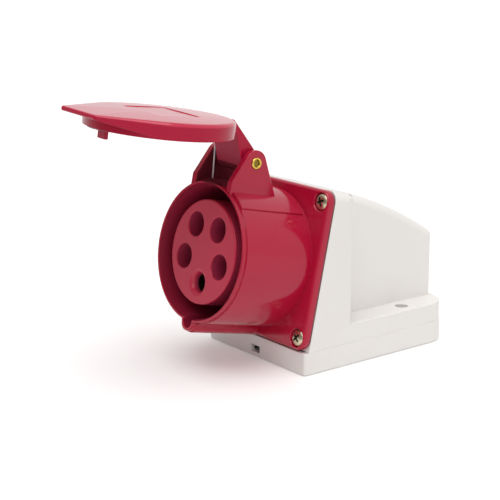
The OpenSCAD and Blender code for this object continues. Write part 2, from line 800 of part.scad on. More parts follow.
// Hollow under the crown, with a flat land for the seal
module lid_hollow() {
  rotate_extrude() {
    translate([0, lip_z - 1]) square([lid_in, plate_z + 1 - lip_z]);
    intersection() {
      translate([0, lip_z]) square([bore_r - 0.6, far / 4]);
      translate([0, dome_z]) circle(dome_r - lid_t, $fn = 360);
    }
  }
}

module lid_panel() {
  difference() {
    translate([0, 0, edge_z - lid_t / 2]) linear_extrude(far / 10) rounded_plate(panel_w, panel_h, 2);
    translate([0, 0, dome_z]) sphere(dome_r - panel_d, $fn = 360);
  }
}

module lid() {
  color(safety_red) on_face() opened() difference() {
    union() {
      difference() {
        union() {
          lid_disc();
          lifting_tab();
          lid_arm();
        }
        lid_hollow();
        lid_panel();
      }
      // catch that holds a plug
      translate([-catch_w / 2, -bore_r + 0.8, lip_z - catch_reach])
        cube([catch_w, catch_t, edge_z - lip_z + catch_reach]);
    }
    translate([-ear_x, pin_v, pin_z]) rotate([0, 90, 0]) cylinder(r = pin_r + pin_gap, h = 2 * ear_x);
  }
}

module lid_seal() {
  color(rubber_black) on_face() opened() translate([0, 0, collar_len + seal_gap]) difference() {
    cylinder(r = lid_in - 0.05, h = plate_z - collar_len - seal_gap);
    translate([0, 0, -1]) cylinder(r = bore_r - 0.2, h = far / 10);
  }
}

base_tray();
box_housing();
mount_ledges();
base_screws();
cable_grommet();
flange_gasket();
socket_flange();
socket_collar();
hinge_ears();
flange_screws();
contact_insert();
insert_ring();
insert_screws();
terminal_block();
contact_earth();
contact_neutral();
contact_line_1();
contact_line_2();
contact_line_3();
contact_springs();
terminal_screws();
hinge_pin();
lid_spring();
lid();
lid_seal();
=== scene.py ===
import bpy
import bmesh
import math
from mathutils import Matrix, Vector


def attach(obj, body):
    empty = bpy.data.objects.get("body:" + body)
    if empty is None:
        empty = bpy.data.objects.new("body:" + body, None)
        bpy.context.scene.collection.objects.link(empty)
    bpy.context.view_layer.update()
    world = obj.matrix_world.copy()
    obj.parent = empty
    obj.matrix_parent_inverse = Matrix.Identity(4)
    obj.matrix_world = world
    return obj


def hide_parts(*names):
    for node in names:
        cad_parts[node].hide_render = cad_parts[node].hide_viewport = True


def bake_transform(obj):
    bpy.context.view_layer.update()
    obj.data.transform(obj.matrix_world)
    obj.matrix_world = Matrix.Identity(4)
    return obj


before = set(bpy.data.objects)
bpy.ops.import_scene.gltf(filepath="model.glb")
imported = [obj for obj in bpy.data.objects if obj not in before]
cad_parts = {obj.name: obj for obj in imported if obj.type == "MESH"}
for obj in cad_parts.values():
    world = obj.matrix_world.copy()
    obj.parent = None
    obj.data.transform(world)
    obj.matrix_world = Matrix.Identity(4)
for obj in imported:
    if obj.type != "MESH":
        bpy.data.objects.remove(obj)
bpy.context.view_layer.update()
scene = bpy.context.scene
scene.view_settings.view_transform = "Standard"
mm = 0.001
print("frame: %d solids loaded" % len(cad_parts))

# the leaning front of the socket: x across, y up the flange, z out along the collar
front = {"lean": 12.5, "boxWidth": 78.3, "boxLength": 98.7, "overhang": 1.8, "footHeight": 12.5}
pin = {"up": 46.3, "out": 28.5, "radius": 2.0, "opened": 83.9, "askew": 2.0, "lift": 0.6}


def faceMatrix():
    lean = math.radians(front["lean"])
    half = front["boxWidth"] / 2
    place = Vector((0, -front["boxLength"] / 2 - front["overhang"] + half * math.sin(lean),
                    front["footHeight"] + half * math.cos(lean)))
    return Matrix.Translation(place) @ Matrix.Rotation(math.pi / 2 - lean, 4, "X")


def lidMatrix(askew, lift):
    # the open lid, hung over to one side and past its stop on a loose pin
    hinge = Matrix.Translation((0, pin["up"], pin["out"]))
    back = Matrix.Rotation(-math.radians(pin["opened"] + lift), 4, "X")
    over = Matrix.Rotation(math.radians(askew), 4, "Y")
    return onFace @ hinge @ (back @ over) @ hinge.inverted()


onFace = faceMatrix()
onLid = lidMatrix(pin["askew"], pin["lift"])
upright = Matrix.Identity(4)
alongPin = Matrix.Translation((0, pin["up"], pin["out"])) @ Matrix.Rotation(math.pi / 2, 4, "Y")

# camera

camera = {"azimuth": 52.75, "elevation": 14.35, "roll": -0.26, "distance": 678.86,
          "right": 2.55, "up": -53.33, "alongY": -49.35, "lens": 97.0}


def addCamera(c):
    az, el, ro = (math.radians(c[k]) for k in ("azimuth", "elevation", "roll"))
    right = Vector((math.cos(az), math.sin(az), 0))
    back = Vector((math.sin(az) * math.cos(el), -math.cos(az) * math.cos(el), math.sin(el)))
    up = back.cross(right)
    right, up = right * math.cos(ro) + up * math.sin(ro), up * math.cos(ro) - right * math.sin(ro)
    place = back * c["distance"] - right * c["right"] - up * c["up"] + Vector((0, c["alongY"], 0))
    data = bpy.data.cameras.new("photoCamera")
    data.lens, data.sensor_width, data.clip_start = c["lens"], 36, 0.01
    obj = bpy.data.objects.new("photoCamera", data)
    scene.collection.objects.link(obj)
    turn = Matrix((right, up, back)).transposed().to_4x4()
    obj.matrix_world = Matrix.Translation(place * mm) @ turn
    scene.camera = obj


addCamera(camera)
print("camera placed")

# shader groups


def newGroup(name, inputs, outputs):
    group = bpy.data.node_groups.new(name, "ShaderNodeTree")
    for label, value in inputs:
        socket = group.interface.new_socket(label, in_out="INPUT", socket_type="NodeSocketFloat")
        socket.default_value = value
    for label in outputs:
        group.interface.new_socket(label, in_out="OUTPUT", socket_type="NodeSocketFloat")
    return group, group.nodes.new("NodeGroupInput"), group.nodes.new("NodeGroupOutput")


def feed(tree, socket, value):
    if isinstance(value, (int, float, tuple)):
        socket.default_value = value
    else:
        tree.links.new(value, socket)


def noiseNode(tree, scale, detail, vector):
    node = tree.nodes.new("ShaderNodeTexNoise")
    node.inputs["Detail"].default_value = detail
    feed(tree, node.inputs["Scale"], scale)
    tree.links.new(vector, node.inputs["Vector"])
    return node.outputs["Fac"]


def mathNode(tree, operation, a, b, clamp=False):
    node = tree.nodes.new("ShaderNodeMath")
    node.operation, node.use_clamp = operation, clamp
    feed(tree, node.inputs[0], a)
    feed(tree, node.inputs[1], b)
    return node.outputs[0]


def makeMouldSkin():
    # fine spark texture, slow waviness and faint flow marks of moulded plastic
    inputs = [("Grain scale", 1400.0), ("Wave scale", 45.0), ("Wave share", 0.5)]
    group, gin, gout = newGroup("mouldSkin", inputs, ["Height", "Shift", "Flow"])
    spot = group.nodes.new("ShaderNodeTexCoord").outputs["Object"]
    grain = noiseNode(group, gin.outputs["Grain scale"], 2, spot)
    wave = noiseNode(group, gin.outputs["Wave scale"], 1, spot)
    low = mathNode(group, "MULTIPLY", wave, gin.outputs["Wave share"])
    fine = mathNode(group, "MULTIPLY", grain, 0.12)
    group.links.new(mathNode(group, "ADD", fine, low), gout.inputs["Height"])
    group.links.new(mathNode(group, "SUBTRACT", grain, 0.5), gout.inputs["Shift"])
    group.links.new(noiseNode(group, 22, 3, spot), gout.inputs["Flow"])
    return group


def makeEdgeRub():
    # rubbed corners, from how sharply the surface turns
    group, gin, gout = newGroup("edgeRub", [("Start", 0.53), ("Gain", 12.0)], ["Mask"])
    sharp = group.nodes.new("ShaderNodeNewGeometry").outputs["Pointiness"]
    spot = group.nodes.new("ShaderNodeTexCoord").outputs["Object"]
    over = mathNode(group, "SUBTRACT", sharp, gin.outputs["Start"])
    raised = mathNode(group, "MULTIPLY", over, gin.outputs["Gain"], True)
    broken = mathNode(group, "MULTIPLY", raised, noiseNode(group, 160, 3, spot), True)
    group.links.new(broken, gout.inputs["Mask"])
    return group


def makeDustFilm():
    # thin dust on upward faces
    group, gin, gout = newGroup("dustFilm", [("Amount", 0.1)], ["Mask"])
    part = group.nodes.new("ShaderNodeSeparateXYZ")
    group.links.new(group.nodes.new("ShaderNodeNewGeometry").outputs["Normal"], part.inputs[0])
    spot = group.nodes.new("ShaderNodeTexCoord").outputs["Object"]
    patch = mathNode(group, "MULTIPLY", noiseNode(group, 70, 4, spot), noiseNode(group, 900, 2, spot))
    up = mathNode(group, "MULTIPLY", part.outputs["Z"], gin.outputs["Amount"], True)
    group.links.new(mathNode(group, "MULTIPLY", up, patch, True), gout.inputs["Mask"])
    return group


effects = {"mouldSkin": makeMouldSkin(), "edgeRub": makeEdgeRub(), "dustFilm": makeDustFilm()}

# materials


def placeGroup(tree, name, **values):
    node = tree.nodes.new("ShaderNodeGroup")
    node.node_tree = effects[name]
    for label, value in values.items():
        node.inputs[label.replace("_", " ")].default_value = value
    return node


def mixNode(tree, fac, a, b, kind="FLOAT"):
    node = tree.nodes.new("ShaderNodeMix")
    node.data_type = kind
    for socket, value in zip([s for s in node.inputs if s.enabled], (fac, a, b)):
        feed(tree, socket, value)
    return [s for s in node.outputs if s.enabled][0]


def rgba(c):
    return (c[0], c[1], c[2], 1.0)


def newMaterial(name, f):
    # colour, roughness and bump that all finishes share
    mat = bpy.data.materials.new(name)
    mat.use_nodes = True
    tree = mat.node_tree
    shader = tree.nodes["Principled BSDF"]
    skin = placeGroup(tree, "mouldSkin", Grain_scale=f["grain"], Wave_scale=f["wave"],
                      Wave_share=f["waveShare"])
    rub = placeGroup(tree, "edgeRub", Gain=9.0)
    dust = placeGroup(tree, "dustFilm", Amount=f["dust"])
    base = mixNode(tree, skin.outputs["Flow"], rgba(f["deep"]), rgba(f["colour"]), "RGBA")
    worn = mathNode(tree, "MULTIPLY", rub.outputs["Mask"], f["rub"])
    base = mixNode(tree, worn, base, rgba(f["rubbed"]), "RGBA")
    base = mixNode(tree, dust.outputs["Mask"], base, rgba(f["dusty"]), "RGBA")
    tree.links.new(base, shader.inputs["Base Color"])
    vary = mathNode(tree, "MULTIPLY", skin.outputs["Shift"], f["roughVary"])
    rough = mathNode(tree, "ADD", vary, f["rough"])
    rough = mathNode(tree, "ADD", rough, mathNode(tree, "MULTIPLY", dust.outputs["Mask"], 0.5), True)
    tree.links.new(rough, shader.inputs["Roughness"])
    bump = tree.nodes.new("ShaderNodeBump")
    bump.inputs["Strength"].default_value = f["bump"]
    bump.inputs["Distance"].default_value = 0.0002
    tree.links.new(skin.outputs["Height"], bump.inputs["Height"])
    tree.links.new(bump.outputs["Normal"], shader.inputs["Normal"])
    shader.inputs["IOR"].default_value = f.get("ior", 1.5)
    shader.inputs["Metallic"].default_value = f.get("metal", 0.0)
    return mat


redLook = {"rubbed": (0.62, 0.10, 0.12), "dusty": (0.6, 0.45, 0.45), "rub": 0.35, "dust": 0.06}
redGlossy = dict(redLook, roughVary=0.06, grain=1500.0, wave=40.0, waveShare=0.6, bump=0.08)
# look shared by the darker copies of the red that carry painted shade in the bore, the holes, the arm's front
# and the hinge bay
redShadeLook = dict(redLook, roughVary=0.10, grain=1500.0, wave=60.0, waveShare=0.4, bump=0.2, rub=0.0, dust=0.0)
softLook = {"waveShare": 0.5, "bump": 0.4, "grain": 900.0, "wave": 80.0, "roughVary": 0.15}
oldBrass = {"dusty": (0.2, 0.18, 0.15), "roughVary": 0.2, "grain": 700.0, "wave": 160.0, "waveShare": 0.6,
            "bump": 0.3, "rub": 0.2, "dust": 0.05, "metal": 1.0}
screwLook = {"roughVary": 0.2, "grain": 800.0, "wave": 200.0, "waveShare": 0.6, "bump": 0.25}
wireLook = {"dusty": (0.5, 0.5, 0.5), "roughVary": 0.12, "grain": 900.0, "wave": 220.0, "waveShare": 0.6,
            "bump": 0.15}
looks = {
    "redGloss": dict(redGlossy, colour=(0.43, 0.005, 0.036), deep=(0.385, 0.003, 0.028), rough=0.14, ior=1.42),
    # painted light: paler red for the lid's top, standing in for the stronger light from above
    "redLidLitTop": dict(redGlossy, colour=(0.53, 0.008, 0.050), deep=(0.485, 0.006, 0.042), rough=0.14),
    # painted shade: a slightly darker, less glossy copy of the red for the lid's skirt and sides, standing in
    # for a darker reflection there
    "redSkirtDimmed": dict(redGlossy, colour=(0.41, 0.005, 0.036), deep=(0.365, 0.003, 0.028), rough=0.16, ior=1.3),
    "redSatin": dict(redLook, colour=(0.53, 0.014, 0.054), deep=(0.48, 0.010, 0.046), rough=0.36,
                     roughVary=0.10, grain=1900.0, wave=60.0, waveShare=0.4, bump=0.2),
    # painted shade: darker red for the insert's holes and its side below the face
    "redHoleShade": dict(redShadeLook, colour=(0.40, 0.032, 0.080), deep=(0.35, 0.026, 0.068), rough=0.38),
    # painted shade: darker, duller red for the collar's bore and keyway
    "redBoreShade": dict(redShadeLook, colour=(0.31, 0.014, 0.042), deep=(0.26, 0.010, 0.034), rough=0.38),
    # painted shade: darker red for the lid arm's front, under the lid
    "redShade": dict(redShadeLook, colour=(0.37, 0.018, 0.052), deep=(0.32, 0.014, 0.044), rough=0.5, ior=1.25),
    # painted shade: nearly dark red for the hinge bay and the lid's knuckle, where the lid and the ears keep
    # the light off
    "redBayShade": dict(redShadeLook, colour=(0.15, 0.016, 0.026), deep=(0.11, 0.012, 0.020), rough=0.7, ior=1.1),
    "greySatin": {"colour": (0.79, 0.765, 0.735), "deep": (0.765, 0.74, 0.71), "rubbed": (0.86, 0.85, 0.83),
                  "dusty": (0.62, 0.6, 0.57), "rough": 0.40, "roughVary": 0.10, "grain": 1300.0, "wave": 30.0,
                  "waveShare": 0.4, "bump": 0.16, "rub": 0.4, "dust": 0.05, "ior": 1.48},
    "greyBlock": {"colour": (0.16, 0.16, 0.165), "deep": (0.13, 0.13, 0.135), "rubbed": (0.3, 0.3, 0.3),
                  "dusty": (0.4, 0.4, 0.4), "rough": 0.5, "roughVary": 0.12, "grain": 1100.0, "wave": 50.0,
                  "waveShare": 0.5, "bump": 0.25, "rub": 0.4, "dust": 0.1},
    "blackRubber": dict(softLook, colour=(0.022, 0.022, 0.023), deep=(0.016, 0.016, 0.017),
                        rubbed=(0.07, 0.07, 0.07), dusty=(0.25, 0.24, 0.23), rough=0.62, rub=0.5, dust=0.16),
    "gasketFoam": dict(softLook, colour=(0.15, 0.055, 0.06), deep=(0.12, 0.04, 0.045),
                       rubbed=(0.15, 0.10, 0.10), dusty=(0.25, 0.22, 0.22), rough=0.7, rub=0.3, dust=0.1),
    "brass": {"colour": (0.74, 0.55, 0.11), "deep": (0.58, 0.42, 0.08), "rubbed": (0.95, 0.80, 0.45),
              "dusty": (0.5, 0.45, 0.35), "rough": 0.26, "roughVary": 0.14, "grain": 700.0, "wave": 160.0,
              "waveShare": 0.6, "bump": 0.2, "rub": 0.6, "dust": 0.05, "metal": 1.0},
    "brassDull": dict(oldBrass, colour=(0.30, 0.22, 0.045), deep=(0.20, 0.15, 0.03), rubbed=(0.5, 0.36, 0.16),
                      rough=0.45),
    # painted shade: nearly black brass for the contacts deep in the insert's holes
    "brassShadeDark": dict(oldBrass, colour=(0.10, 0.07, 0.035), deep=(0.06, 0.045, 0.025), rubbed=(0.3, 0.22, 0.1),
                      rough=0.5),
    "zincYellow": dict(screwLook, colour=(0.72, 0.64, 0.44), deep=(0.55, 0.50, 0.36), rubbed=(0.9, 0.87, 0.75),
                       dusty=(0.5, 0.48, 0.42), rough=0.28, rub=0.6, dust=0.05, metal=1.0),
    # painted shade: nearly black metal for the screws' cross recesses
    "slotShadeDark": dict(screwLook, colour=(0.05, 0.04, 0.03), deep=(0.03, 0.025, 0.02), rubbed=(0.3, 0.28, 0.2),
                     dusty=(0.1, 0.1, 0.1), rough=0.5, rub=0.2, dust=0.0, metal=0.6),
    "springWire": dict(wireLook, colour=(0.96, 0.96, 0.95), deep=(0.92, 0.92, 0.91), rubbed=(0.95, 0.95, 0.95),
                       rough=0.3, rub=0.4, dust=0.02, metal=0.05),
    "brightSteel": dict(wireLook, colour=(0.88, 0.88, 0.88), deep=(0.78, 0.78, 0.79), rubbed=(0.9, 0.9, 0.9),
                        rough=0.22, rub=0.6, dust=0.05, metal=1.0),
}
finishes = {name: newMaterial(name, look) for name, look in looks.items()}
print("finishes made: %d" % len(finishes))

# mesh helpers: pieces are made in millimetres in a frame of their own, and seat puts them in place


def link(name, mesh):
    obj = bpy.data.objects.new(name, mesh)
    scene.collection.objects.link(obj)
    return obj


def drop(obj):
    mesh = obj.data
    bpy.data.objects.remove(obj)
    bpy.data.meshes.remove(mesh)


def settle(obj):
    # bakes the modifiers into a plain mesh
    graph = bpy.context.evaluated_depsgraph_get()
    mesh = bpy.data.meshes.new_from_object(obj.evaluated_get(graph))
    old = obj.data
    obj.modifiers.clear()
    obj.data = mesh
    bpy.data.meshes.remove(old)
    return obj


def nodeCopy(node):
    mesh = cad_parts[node].data.copy()
    mesh.materials.clear()
    mesh.transform(Matrix.Scale(1 / mm, 4))
    return clean(link(node + "Copy", mesh))


def clean(obj, flat=None):
    # joins double points and, within flat degrees, faces in one plane
    bm = bmesh.new()
    bm.from_mesh(obj.data)
    bmesh.ops.remove_doubles(bm, verts=bm.verts, dist=0.002)
    bmesh.ops.dissolve_degenerate(bm, dist=0.002, edges=bm.edges)
    if flat:
        bmesh.ops.dissolve_limit(bm, angle_limit=math.radians(flat), verts=bm.verts, edges=bm.edges,
                                 delimit={"MATERIAL"})
    bmesh.ops.recalc_face_normals(bm, faces=bm.faces)
    bm.to_mesh(obj.data)
    bm.free()
    return obj


def seat(obj, place):
    obj.data.transform(Matrix.Scale(mm, 4) @ place)
    obj.data.update()
    return obj


def fromRings(name, rings, place=upright, closed=False):
    # skin over rings of equally many points, capped at both ends unless it closes on itself
    count, total = len(rings[0]), len(rings)
    faces = []
    for r in range(total if closed else total - 1):
        for k in range(count):
            a, b = r * count + k, r * count + (k + 1) % count
            shift = (r + 1) % total * count - r * count
            faces.append((a, b, b + shift, a + shift))
    if not closed:
        faces.append(tuple(reversed(range(count))))
        faces.append(tuple((total - 1) * count + k for k in range(count)))
    mesh = bpy.data.meshes.new(name)
    mesh.from_pydata([tuple(p) for ring in rings for p in ring], [], faces)
    mesh.transform(place)
    return clean(link(name, mesh))


def lathe(name, profile, steps, place=upright):
    # turned solid: profile is (radius, height) from one end of the axis to the other
    rings = [[(r * math.cos(t), r * math.sin(t), z) for t in (2 * math.pi * k / steps for k in range(steps))]
             for r, z in profile]
    return fromRings(name, rings, place)


def turnSection(section, turns):
    # rings of a section of (radius, height), one at each turn round the axis
    return [[(r * math.cos(t), r * math.sin(t), z) for r, z in section] for t in turns]


def turnedRing(name, section, steps):
    turns = [2 * math.pi * k / steps for k in range(steps)]
    return fromRings(name, turnSection(section, turns), closed=True)


def arc(cx, cy, r, a0, a1, steps):
    turn = [math.radians(a0 + (a1 - a0) * k / steps) for k in range(steps + 1)]
    return [(cx + r * math.cos(t), cy + r * math.sin(t)) for t in turn]


def roundedPlate(w, h, r, steps=8):
    x, y = w / 2 - r, h / 2 - r
    return (arc(x, y, r, 0, 90, steps) + arc(-x, y, r, 90, 180, steps) + arc(-x, -y, r, 180, 270, steps)
            + arc(x, -y, r, 270, 360, steps))


def inset(outline, d):
    # outline moved inwards by d, along its own normals
    moved = []
    count = len(outline)
    for k, (x, y) in enumerate(outline):
        (x0, y0), (x1, y1) = outline[k - 1], outline[(k + 1) % count]
        n = Vector((y1 - y0, x0 - x1)).normalized()
        moved.append((x - d * n.x, y - d * n.y))
    return moved


def at(outline, z):
    return [(x, y, z) for x, y in outline]


def across(name, outline, x0, x1, edge=0.0):
    # outline in (y, z), run along x, with its edges rounded
    obj = fromRings(name, [[(x, y, z) for y, z in outline] for x in (x0, x1)])
    return roundEdges(obj, edge) if edge else obj


def tangent(c, r, p, side):
    # where a line from p touches the circle
    d = Vector(p) - Vector(c)
    a = math.atan2(d.y, d.x) + side * math.acos(r / d.length)
    return Vector(c) + r * Vector((math.cos(a), math.sin(a)))


def combine(target, other, operation="UNION"):
    mod = target.modifiers.new("combine", "BOOLEAN")
    mod.operation, mod.solver, mod.object = operation, "EXACT", other
    settle(target)
    drop(other)
    return target


def roundEdges(obj, width, widths=None):
    # widths may give an edge a rounding of its own, from its middle
    bm = bmesh.new()
    bm.from_mesh(obj.data)
    layer = bm.edges.layers.float.new("bevel_weight_edge")
    widest, sharpFrom = 4.0, math.radians(25)
    for edge in bm.edges:
        if len(edge.link_faces) == 2 and edge.calc_face_angle(0) > sharpFrom:
            own = widths((edge.verts[0].co + edge.verts[1].co) / 2) if widths else width
            edge[layer] = own / widest
    bm.to_mesh(obj.data)
    bm.free()
    mod = obj.modifiers.new("rounding", "BEVEL")
    mod.limit_method, mod.width, mod.segments, mod.use_clamp_overlap = "WEIGHT", widest, 3, False
    return settle(obj)


def polish(obj, angle=38):
    # smooth shading in which the large faces stay flat
    clean(obj)
    mesh = obj.data
    mesh.polygons.foreach_set("use_smooth", [True] * len(mesh.polygons))
    mesh.set_sharp_from_angle(angle=math.radians(angle))
    mod = obj.modifiers.new("flatter", "WEIGHTED_NORMAL")
    mod.mode, mod.weight, mod.keep_sharp = "FACE_AREA", 60, True
    return settle(obj)


def finishPiece(obj, name, place, slot, body, replaced, *materials):
    # with one material it covers the piece; with more, the faces keep their numbers
    seat(obj, place)
    obj.name = obj.data.name = name
    inside = [poly.material_index for poly in obj.data.polygons]
    obj.data.materials.clear()
    for finish in materials:
        obj.data.materials.append(finishes[finish])
    obj.data.polygons.foreach_set("material_index", inside if len(materials) > 1 else [0] * len(inside))
    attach(obj, body)
    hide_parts(*replaced)
    print("%s: %d faces" % (name, len(obj.data.polygons)))
    return obj


# box: tray and hood keep their shape and get softer edges

hood = {"ledgeTop": 20.7, "seam": 11.0, "half": 39.15, "rear": 49.35, "rearCorner": 14.0, "shoulder": -18.35,
        "holeAt": (31.0, 21.5), "hole": 3.3, "ledgeEdge": 1.1, "seamEdge": 0.3, "holeEdge": 0.5,
        "softEdge": 0.4}


def softCopy(node):
    # the solid's own shape with softer edges
    return polish(roundEdges(clean(nodeCopy(node), 0.4), hood["softEdge"]))


def hoodWidths(middle):
    # only the mounting holes and the seam above the tray
    (x, y), out = hood["holeAt"], hood["hole"] + 0.3
    if abs(middle.z - hood["ledgeTop"]) < 0.2 and math.hypot(abs(middle.x) - x, middle.y - y) < out:
        return hood["holeEdge"]
    return hood["seamEdge"] if abs(middle.z - hood["seam"]) < 0.2 else 0.0


def addLedgeCutter(side):
    # takes the outer edge off a ledge, round its rear corner
    r, top, q = hood["ledgeEdge"], hood["ledgeTop"], hood["rearCorner"]
    section = [(x - r + 0.02, top - r + 0.02 + z) for x, z in arc(0, 0, r, -4, 94, 8)]
    section += [(-r, top + 2), (1.5, top + 2), (1.5, top - r)]
    x, y = hood["half"], hood["rear"]
    path = [((x, hood["shoulder"] + 0.03), (1, 0)), ((x, y - q), (1, 0))]
    path += [((x - q + q * n, y - q + q * m), (n, m)) for n, m in arc(0, 0, 1, 5, 90, 17)]
    rings = [[(side * (px + nx * d), py + ny * d, z) for d, z in section] for (px, py), (nx, ny) in path]
    return fromRings("ledgeCutter", rings)


finishPiece(softCopy("base_tray"), "baseTray", upright, "grey_shell", "socket", ["base_tray"], "greySatin")
boxHood = combine(nodeCopy("box_housing"), nodeCopy("mount_ledges"))
for side in (-1, 1):
    combine(boxHood, addLedgeCutter(side), "DIFFERENCE")
boxHood = polish(roundEdges(clean(boxHood, 0.3), 0.0, widths=hoodWidths))
finishPiece(boxHood, "boxHood", upright, "grey_shell", "socket", ["box_housing", "mount_ledges"], "greySatin")
grommet = softCopy("cable_grommet")
finishPiece(grommet, "cableGrommet", upright, "black_rubber", "socket", ["cable_grommet"], "blackRubber")

# flange, collar and ears: one red moulding

flange = {"side": 78.3, "corner": 6.0, "thick": 4.0, "edge": 1.7, "backEdge": 0.4, "opening": 30.0,
          "screwAt": 33.3, "recess": 4.5, "recessEdge": 0.3, "sink": 1.6}
collar = {"radius": 34.8, "length": 41.5, "bore": 31.2, "rim": 34.1, "rimAt": 39.3, "fillet": 0.06,
          "stepEdge": 0.25, "rimEdge": 0.4, "root": -3.5, "floor": 3.0, "insertHole": 25.55, "mouth": 33.05,
          "flare": (24.0, 33.0)}
pad = {"radius": 35.5, "half": 44.0, "start": 1.6, "shade": 16.0, "end": 39.1, "edge": 0.35,
       "bay": (33.0, 42.0)}
rib = {"width": 10.6, "reach": 39.6, "corner": 4.7, "step": 0.7, "keyWidth": 6.8, "keyDepth": 6.0,
       "keyEdge": 0.4}
ear = {"inside": 12.4, "outside": 16.0, "radius": 6.2, "frontFoot": (36.0, 40.9), "backFoot": (28.8, 12.0),
       "edge": 0.5, "play": 0.06}


def addFlangePlate():
    outline = roundedPlate(flange["side"], flange["side"], flange["corner"])
    e, t, b = flange["edge"], flange["thick"], flange["backEdge"]
    rings = [at(inset(outline, b), -t), at(outline, b - t)]
    rings += [at(inset(outline, e - x), -e + y) for x, y in arc(0, 0, e, 0, 90, 6)]
    return fromRings("flangePlate", rings)


def addCollarBody():
    # tube with a rounded, stepped rim, and the floor round the insert
    r, f, s, e, end = (collar[k] for k in ("radius", "fillet", "stepEdge", "rimEdge", "length"))
    b, hole, root = collar["bore"], collar["insertHole"], collar["root"]
    rim, step = collar["rim"], collar["rimAt"]
    section = [(hole, root), (r + f, root)] + [(r + f + x, f + y) for x, y in arc(0, 0, f, 270, 180, 4)]
    section += [(r - s + x, step - s + y) for x, y in arc(0, 0, s, 0, 90, 3)]
    section += [(rim + 0.2, step), (rim, step + 0.2)]
    section += [(rim - e + x, end - e + y) for x, y in arc(0, 0, e, 0, 90, 5)]
    section += [(b, end), (b, collar["floor"]), (hole, collar["floor"])]
    return turnedRing("collarBody", section, 128)


def addMouthCutter():
    # flares the bore towards the rim
    b, m, end = collar["bore"], collar["mouth"], collar["length"]
    profile = [(b - 1, collar["flare"][0]), (b + 0.5, collar["flare"][1]), (m - 0.1, end - 0.5)]
    profile += [(m, end - 0.22), (m + 0.12, end - 0.06), (m + 0.24, end + 0.01), (m + 0.24, end + 6)]
    return lathe("mouthCutter", profile, 128)


def addPad():
    # raised band that carries the ears
    steps = 40
    inner, outer = collar["radius"] - 2, pad["radius"]
    low, shade, high = (pad[k] for k in ("start", "shade", "end"))
    section = [(inner, low), (outer, low), (outer, shade), (outer, high), (inner, high)]
    turns = [math.radians(90 - pad["half"] + 2 * pad["half"] * k / steps) for k in range(steps + 1)]
    return roundEdges(fromRings("padBand", turnSection(section, turns)), pad["edge"])


def ribOutline(w, reach, r):
    # rounded rib that hangs from the collar's wall
    x, y = w / 2 - r, -reach + r
    top = -collar["mouth"] - 0.4
    return arc(-x, y, r, 180, 270, 8) + arc(x, y, r, 270, 360, 8) + [(w / 2, top), (-w / 2, top)]


def addRib():
    s = rib["step"]
    full = ribOutline(rib["width"], rib["reach"], rib["corner"])
    small = ribOutline(rib["width"] - 2 * s, rib["reach"] - s, rib["corner"] - s)
    step, end = collar["rimAt"], collar["length"]
    rings = [at(full, -1.0), at(full, step - 0.4), at(inset(full, 0.4), step)]
    rings += [at(inset(small, -0.2), step), at(small, step + 0.3), at(small, end - 0.6)]
    rings += [at(inset(small, 0.2), end - 0.2), at(inset(small, 0.6), end)]
    return fromRings("keyRib", rings)


def addEar(side):
    c, r, toe, root = (pin["up"], pin["out"]), ear["radius"], ear["frontFoot"], ear["backFoot"]
    a, b = tangent(c, r, toe, -1), tangent(c, r, root, 1)
    t0, t1 = (math.degrees(math.atan2(p.y - c[1], p.x - c[0])) for p in (a, b))
    t1 -= 360 if t1 > t0 else 0
    outline = arc(c[0], c[1], r, t0, t1, 20) + [root, (root[0], toe[1]), toe]
    x0, x1 = sorted((side * ear["inside"], side * ear["outside"]))
    return combine(across("hingeEar", outline, x0, x1, ear["edge"]), addPinBore(ear["play"]), "DIFFERENCE")


def addPinBore(play):
    return lathe("pinBore", [(pin["radius"] + play, -30), (pin["radius"] + play, 30)], 32, alongPin)


def addKeyCutter():
    b, end = collar["bore"], collar["length"]
    w, low = rib["keyWidth"] / 2, -b - rib["keyDepth"] + rib["keyWidth"] / 2
    slot = arc(0, low, w, 180, 360, 12) + [(w, -b + 2), (-w, -b + 2)]
    wide = inset(slot, -rib["keyEdge"])
    rings = [at(slot, collar["floor"] + 0.01), at(slot, end - 0.6), at(wide, end + 0.01), at(wide, end + 5)]
    return fromRings("keyCutter", rings)


def addPlateCutters():
    # opening for the insert and the screw recesses
    cutters = [lathe("openingCutter", [(flange["opening"], -10), (flange["opening"], 10)], 64)]
    r, s, e = flange["recess"], flange["sink"], flange["recessEdge"]
    for sx in (-1, 1):
        for sy in (-1, 1):
            spot = Matrix.Translation((sx * flange["screwAt"], sy * flange["screwAt"], 0))
            cutters.append(lathe("recessCutter", [(r, -s), (r, -e), (r + e, 0.01), (r + e, 4)], 48, spot))
    return cutters


shell = addFlangePlate()
for cutter in addPlateCutters():
    combine(shell, cutter, "DIFFERENCE")
for solid in (addCollarBody(), addPad(), addRib(), addEar(-1), addEar(1)):
    combine(shell, solid)
combine(shell, addMouthCutter(), "DIFFERENCE")
combine(shell, addKeyCutter(), "DIFFERENCE")


def paintFaces(obj, pick):
    # pick gives the number of a face's material from its centre
    for poly in obj.data.polygons:
        poly.material_index = int(pick(poly.center))
    return obj


def shellShadedFaces(p):
    # 1 is painted shade on the collar's bore with its keyway, 2 painted shade in the bay between the ears,
    # which the ears and the lid keep from the light
    if abs(p.x) < ear["inside"] + 0.05 and p.y > pad["bay"][0] and pad["shade"] < p.z < pad["bay"][1]:
        return 2
    if not collar["floor"] - 0.2 < p.z < collar["length"] - 0.6:
        return 0
    inKey = abs(p.x) < rib["keyWidth"] / 2 + 0.02 and -collar["bore"] - rib["keyDepth"] - 0.02 < p.y < 0
    return math.hypot(p.x, p.y) < collar["mouth"] or inKey


polish(clean(paintFaces(shell, shellShadedFaces), 0.3))
shellNodes = ["socket_flange", "socket_collar", "hinge_ears"]
finishPiece(shell, "socketShell", onFace, "red_shell", "socket", shellNodes, "redGloss", "redBoreShade", "redBayShade")

# contact insert

